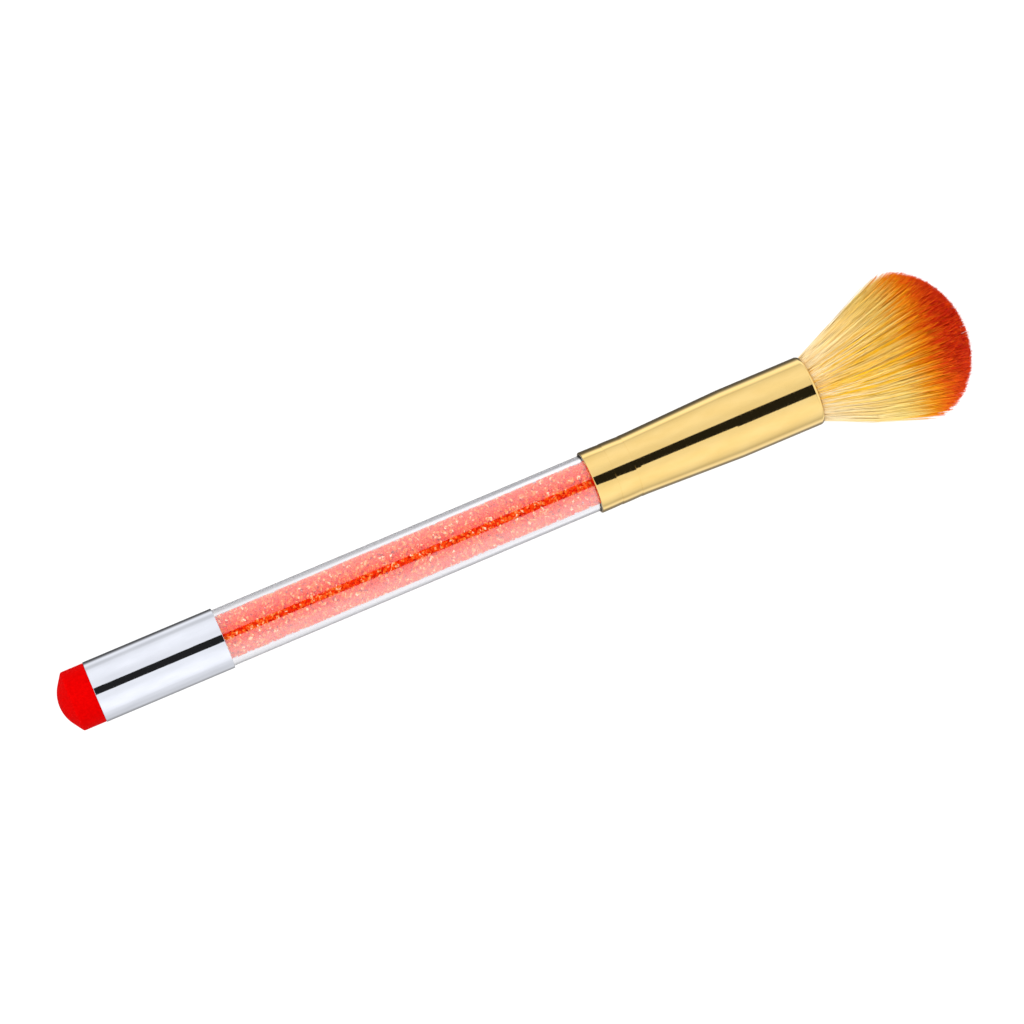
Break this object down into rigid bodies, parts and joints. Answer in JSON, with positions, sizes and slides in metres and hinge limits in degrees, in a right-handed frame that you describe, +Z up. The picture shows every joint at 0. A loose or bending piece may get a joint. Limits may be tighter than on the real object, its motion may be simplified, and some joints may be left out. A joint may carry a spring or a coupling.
{
  "type": "nail dust brush",
  "caption": "Soft round nail dust brush with a fanned two-tone tuft, gold ferrule, clear crystal-filled tube handle, chrome collar and domed end plug.",
  "frame": {"origin": "on the table, below the middle of the box round the brush as it lies on its side", "axes": "+X along the brush towards the hair, which is raised by 2.86 degrees from the tail; +Z up; +Y across"},
  "size_m": [0.1662, 0.0268, 0.0262],
  "materials": {
    "red_plastic": "satin moulded plastic",
    "chrome_sleeve": "mirror bright",
    "clear_acrylic": "clear, polished",
    "red_crystals": "clear-tinted facets",
    "white_plastic": "matte",
    "gold_aluminium": "polished, gold anodised",
    "set_resin": "gloss, hair set in resin",
    "synthetic_hair": "soft filaments, cream with orange-red tips"
  },
  "bodies": {
    "root": {"end_plug": "red_plastic", "tail_collar": "chrome_sleeve", "handle_tube": "clear_acrylic", "crystal_filling": "red_crystals", "front_stopper": "white_plastic", "ferrule": "gold_aluminium", "tuft_root": "set_resin", "bristles": "synthetic_hair"}
  },
  "joints": []
}
